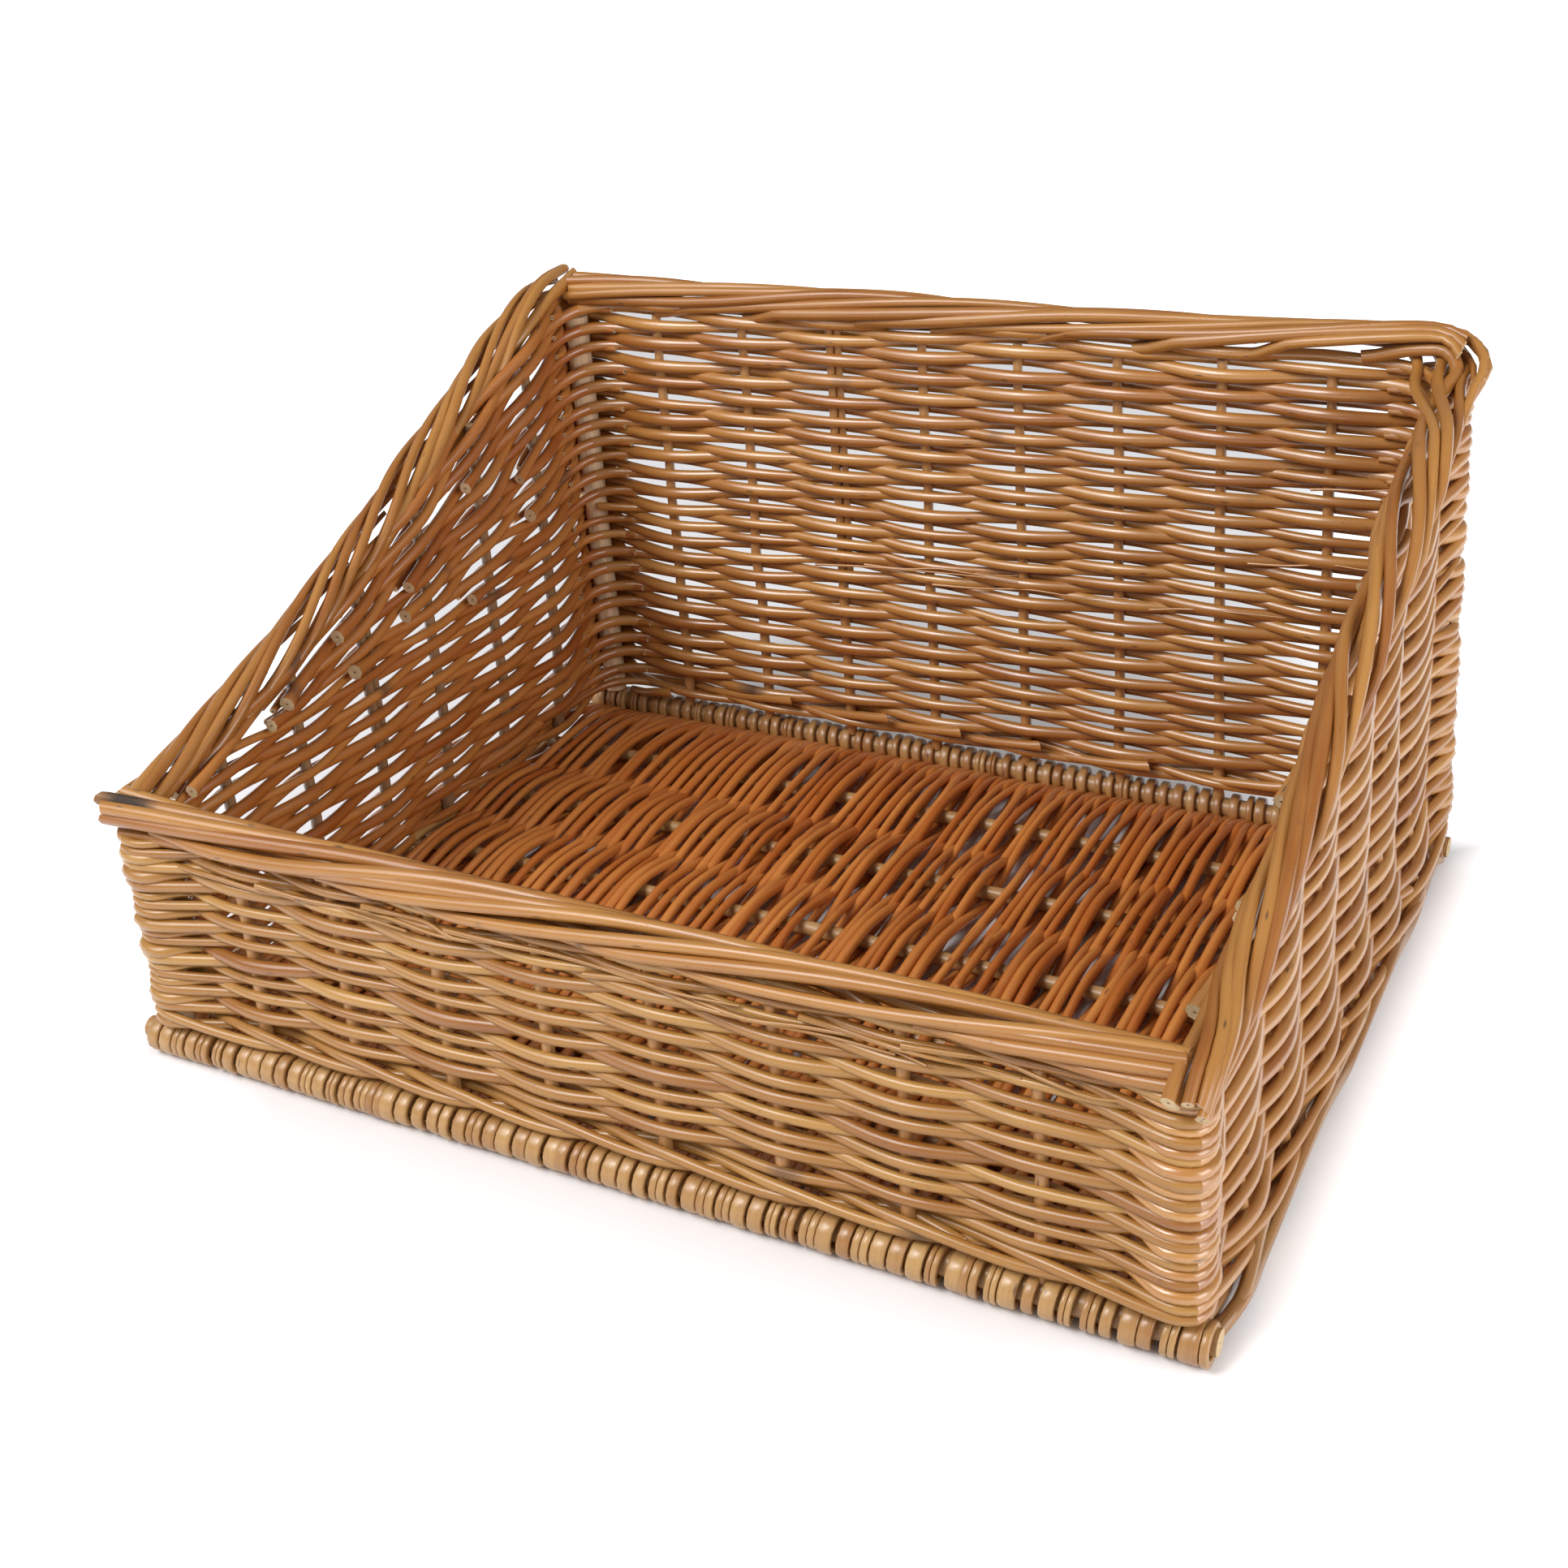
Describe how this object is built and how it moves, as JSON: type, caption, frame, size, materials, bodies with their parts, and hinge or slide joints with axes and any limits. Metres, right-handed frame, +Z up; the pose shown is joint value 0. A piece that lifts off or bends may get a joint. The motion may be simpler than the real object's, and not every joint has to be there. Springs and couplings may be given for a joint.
{
  "type": "shelf basket",
  "caption": "Woven willow shelf basket with a low front, sloping sides and a high back, open at the top to show and hold goods.",
  "frame": {"origin": "floor below the middle of the basket's bounding box", "axes": "+X to the right along the width, +Y to the back, +Z up"},
  "size_m": [0.5, 0.409, 0.2637],
  "materials": {
    "wall_rods": "varnished willow, golden tan",
    "base_rods": "varnished willow, amber",
    "border_rods": "varnished willow, honey",
    "stakes": "varnished willow, honey",
    "posts": "peeled round wood, grey beige",
    "sticks": "peeled stick, pale"
  },
  "bodies": {
    "root": {"base_stick_1": "sticks", "base_stick_2": "sticks", "base_stick_3": "sticks", "base_stick_4": "sticks", "base_stick_5": "sticks", "base_weave": "base_rods", "border_back_rod_1": "border_rods", "border_back_rod_2": "border_rods", "border_back_rod_3": "border_rods", "border_front_rod_1": "border_rods", "border_front_rod_2": "border_rods", "border_front_rod_3": "border_rods", "border_left_rod_1": "border_rods", "border_left_rod_2": "border_rods", "border_left_rod_3": "border_rods", "border_right_rod_1": "border_rods", "border_right_rod_2": "border_rods", "border_right_rod_3": "border_rods", "corner_post_back_left": "posts", "corner_post_back_right": "posts", "corner_post_front_left": "posts", "corner_post_front_right": "posts", "edge_stick_back": "sticks", "edge_stick_front": "sticks", "stake_back_1": "stakes", "stake_back_2": "stakes", "stake_back_3": "stakes", "stake_back_4": "stakes", "stake_back_5": "stakes", "stake_back_6": "stakes", "stake_back_7": "stakes", "stake_back_8": "stakes", "stake_front_1": "stakes", "stake_front_2": "stakes", "stake_front_3": "stakes", "stake_front_4": "stakes", "stake_front_5": "stakes", "stake_front_6": "stakes", "stake_front_7": "stakes", "stake_front_8": "stakes", "stake_left_1": "stakes", "stake_left_2": "stakes", "stake_left_3": "stakes", "stake_left_4": "stakes", "stake_left_5": "stakes", "stake_left_6": "stakes", "stake_right_1": "stakes", "stake_right_2": "stakes", "stake_right_3": "stakes", "stake_right_4": "stakes", "stake_right_5": "stakes", "stake_right_6": "stakes", "weave_back": "wall_rods", "weave_front": "wall_rods", "weave_left": "wall_rods", "weave_right": "wall_rods"}
  },
  "joints": []
}
